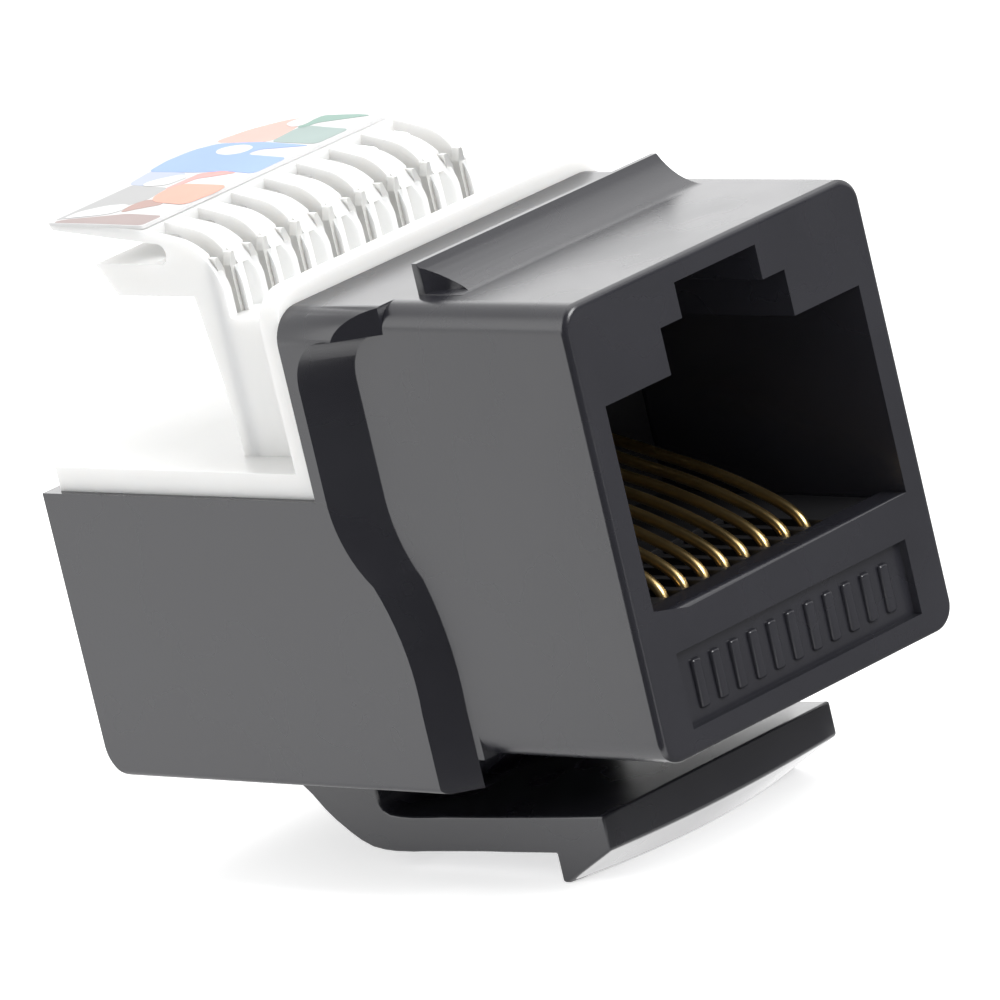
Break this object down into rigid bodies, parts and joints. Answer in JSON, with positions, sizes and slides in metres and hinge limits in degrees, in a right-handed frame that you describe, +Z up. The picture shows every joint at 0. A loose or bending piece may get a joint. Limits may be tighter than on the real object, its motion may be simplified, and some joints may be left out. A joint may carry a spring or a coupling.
{
  "type": "keystone jack",
  "caption": "Keystone data jack: black housing with a modular plug port, sprung panel latch, gold contact springs and a white terminal block with a colour code label.",
  "frame": {"origin": "middle of the lower edge of the nose's front face, where the nose enters a panel opening", "axes": "+Y from the port's face to the back, +X to the right seen from the front, +Z up, with the fixed ridge on top and the latch below"},
  "size_m": [0.0166, 0.0272, 0.0239],
  "materials": {
    "housing_plastic": "satin moulded",
    "carrier_plastic": "matt moulded",
    "board_laminate": "solder mask",
    "block_plastic": "satin moulded",
    "label_film": "printed film",
    "spring_plating": "gold plated",
    "blade_plating": "tin plated"
  },
  "bodies": {
    "jack": {"housing": "housing_plastic", "contact_carrier": "carrier_plastic", "circuit_board": "board_laminate", "terminal_block": "block_plastic", "wiring_label": "label_film", "terminal_blade_1": "blade_plating", "terminal_blade_2": "blade_plating", "terminal_blade_3": "blade_plating", "terminal_blade_4": "blade_plating", "terminal_blade_5": "blade_plating", "terminal_blade_6": "blade_plating", "terminal_blade_7": "blade_plating", "terminal_blade_8": "blade_plating"},
    "latch": {"panel_latch": "housing_plastic"},
    "spring_1": {"contact_1": "spring_plating"},
    "spring_2": {"contact_2": "spring_plating"},
    "spring_3": {"contact_3": "spring_plating"},
    "spring_4": {"contact_4": "spring_plating"},
    "spring_5": {"contact_5": "spring_plating"},
    "spring_6": {"contact_6": "spring_plating"},
    "spring_7": {"contact_7": "spring_plating"},
    "spring_8": {"contact_8": "spring_plating"}
  },
  "joints": [
    {"name": "latch_flex", "type": "hinge", "parent": "jack", "child": "latch", "pos_m": [0, 0.0163, -0.00335], "axis": [-1, 0, 0], "range_deg": [0, 8], "stiffness_Nm_per_rad": 0.5},
    {"name": "contact_flex_1", "type": "hinge", "parent": "jack", "child": "spring_1", "pos_m": [-0.00357, 0.012, 0.008], "axis": [1, 0, 0], "range_deg": [0, 6], "stiffness_Nm_per_rad": 0.11},
    {"name": "contact_flex_2", "type": "hinge", "parent": "jack", "child": "spring_2", "pos_m": [-0.00255, 0.012, 0.008], "axis": [1, 0, 0], "range_deg": [0, 6], "stiffness_Nm_per_rad": 0.11},
    {"name": "contact_flex_3", "type": "hinge", "parent": "jack", "child": "spring_3", "pos_m": [-0.00153, 0.012, 0.008], "axis": [1, 0, 0], "range_deg": [0, 6], "stiffness_Nm_per_rad": 0.11},
    {"name": "contact_flex_4", "type": "hinge", "parent": "jack", "child": "spring_4", "pos_m": [-0.00051, 0.012, 0.008], "axis": [1, 0, 0], "range_deg": [0, 6], "stiffness_Nm_per_rad": 0.11},
    {"name": "contact_flex_5", "type": "hinge", "parent": "jack", "child": "spring_5", "pos_m": [0.00051, 0.012, 0.008], "axis": [1, 0, 0], "range_deg": [0, 6], "stiffness_Nm_per_rad": 0.11},
    {"name": "contact_flex_6", "type": "hinge", "parent": "jack", "child": "spring_6", "pos_m": [0.00153, 0.012, 0.008], "axis": [1, 0, 0], "range_deg": [0, 6], "stiffness_Nm_per_rad": 0.11},
    {"name": "contact_flex_7", "type": "hinge", "parent": "jack", "child": "spring_7", "pos_m": [0.00255, 0.012, 0.008], "axis": [1, 0, 0], "range_deg": [0, 6], "stiffness_Nm_per_rad": 0.11},
    {"name": "contact_flex_8", "type": "hinge", "parent": "jack", "child": "spring_8", "pos_m": [0.00357, 0.012, 0.008], "axis": [1, 0, 0], "range_deg": [0, 6], "stiffness_Nm_per_rad": 0.11}
  ]
}
